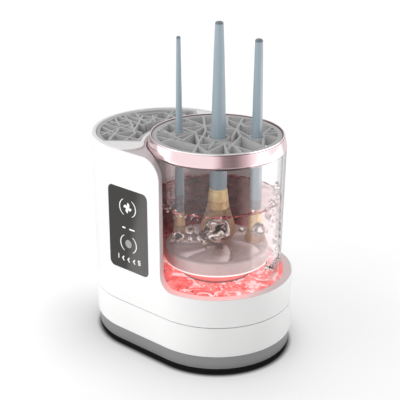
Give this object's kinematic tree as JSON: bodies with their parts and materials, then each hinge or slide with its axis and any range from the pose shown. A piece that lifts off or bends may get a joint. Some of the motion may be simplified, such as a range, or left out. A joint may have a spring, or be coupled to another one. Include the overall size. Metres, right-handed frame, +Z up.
{
  "type": "makeup brush cleaner",
  "caption": "Countertop makeup brush cleaner: clear washing cup with a turning disc and web brush holder, beside a drying tower with fan and touch panel.",
  "frame": {"origin": "on the table, under the middle of the housing", "axes": "+Z up, +X towards the cup end, the control panel faces -Y"},
  "size_m": [0.148, 0.104, 0.224],
  "materials": {
    "white_shell": "satin-gloss white ABS",
    "gray_band": "fine satin gray",
    "foot_rubber": "matte",
    "tray_white": "satin off-white",
    "panel_glass": "dark gray glass-like, polished",
    "panel_print": "white print",
    "pad_gray": "gray print",
    "clear_cup": "clear, polished",
    "cup_base_clear": "clear acrylic, lit red from below",
    "light_diffuser": "translucent, lit red",
    "ring_metal": "rose tinted, turned and polished",
    "silicone_gray": "soft satin silicone",
    "steel": "bright",
    "bush_brass": "turned",
    "nylon_white": "natural",
    "disc_plastic": "frosted white",
    "board_green": "solder mask",
    "chip_black": "moulded",
    "led_red": "lens",
    "fan_black": "moulded",
    "heater_alloy": "plain",
    "handle_blue": "painted gray-blue",
    "ferrule_gold": "satin pale gold",
    "bristle_tan": "soft bristle tuft"
  },
  "bodies": {
    "base": {"rubber_sole": "foot_rubber", "base_cover": "gray_band", "lower_housing": "white_shell", "upper_housing": "white_shell", "housing_screws": "steel", "tray_frame": "tray_white", "drying_bin": "tray_white", "touch_panel": "panel_glass", "panel_icons": "panel_print", "power_pad": "pad_gray", "control_board": "board_green", "control_chips": "chip_black", "touch_springs": "steel", "light_ring": "light_diffuser", "led_board": "nylon_white", "led_chips": "led_red", "motor": "steel", "motor_bracket": "chip_black", "motor_screws": "steel", "power_board": "board_green", "power_parts": "chip_black", "usb_inlet": "steel", "inlet_board": "board_green", "fan_frame": "fan_black", "fan_pin": "steel", "heater_frame": "nylon_white", "heater_fins": "heater_alloy"},
    "fan": {"fan_rotor": "fan_black"},
    "drive": {"drive_shaft": "steel", "drive_dog": "nylon_white"},
    "cup": {"cup_glass": "clear_cup", "cup_base": "cup_base_clear", "cup_bush": "bush_brass", "cup_seal": "foot_rubber"},
    "disc": {"spindle": "steel", "driven_dog": "nylon_white", "disc_hub": "disc_plastic", "wash_disc": "disc_plastic", "disc_ribs": "disc_plastic", "disc_screw": "steel"},
    "holder": {"holder_ring": "ring_metal", "holder_lattice": "silicone_gray"},
    "rack": {"drying_lattice": "silicone_gray"},
    "small_brush": {"small_handle": "handle_blue", "small_ferrule": "ferrule_gold", "small_hair": "bristle_tan"},
    "large_brush": {"large_handle": "handle_blue", "large_ferrule": "ferrule_gold", "large_hair": "bristle_tan"},
    "medium_brush": {"medium_handle": "handle_blue", "medium_ferrule": "ferrule_gold", "medium_hair": "bristle_tan"}
  },
  "joints": [
    {"name": "fan_spin", "type": "hinge", "parent": "base", "child": "fan", "pos_m": [-0.035, 0, 0.015], "axis": [0, 0, 1], "continuous": true},
    {"name": "drive_spin", "type": "hinge", "parent": "base", "child": "drive", "pos_m": [0.022, 0, 0.034], "axis": [0, 0, 1], "continuous": true},
    {"name": "cup_lift", "type": "slide", "parent": "base", "child": "cup", "axis": [0, 0, 1], "range_m": [0, 0.105]},
    {"name": "disc_spin", "type": "hinge", "parent": "cup", "child": "disc", "pos_m": [0.022, 0, 0.05], "axis": [0, 0, 1], "continuous": true},
    {"name": "holder_lift", "type": "slide", "parent": "cup", "child": "holder", "axis": [0, 0, 1], "range_m": [0, 0.08]},
    {"name": "rack_lift", "type": "slide", "parent": "base", "child": "rack", "axis": [0, 0, 1], "range_m": [0, 0.03]},
    {"name": "small_brush_slide", "type": "slide", "parent": "holder", "child": "small_brush", "axis": [0, 0, 1], "range_m": [0, 0.012]},
    {"name": "large_brush_slide", "type": "slide", "parent": "holder", "child": "large_brush", "axis": [0, 0, 1], "range_m": [0, 0.012]},
    {"name": "medium_brush_slide", "type": "slide", "parent": "holder", "child": "medium_brush", "axis": [0, 0, 1], "range_m": [0, 0.012]}
  ],
  "couplings": [
    {"joint": "drive_spin", "follows": "disc_spin", "ratio": 1}
  ]
}
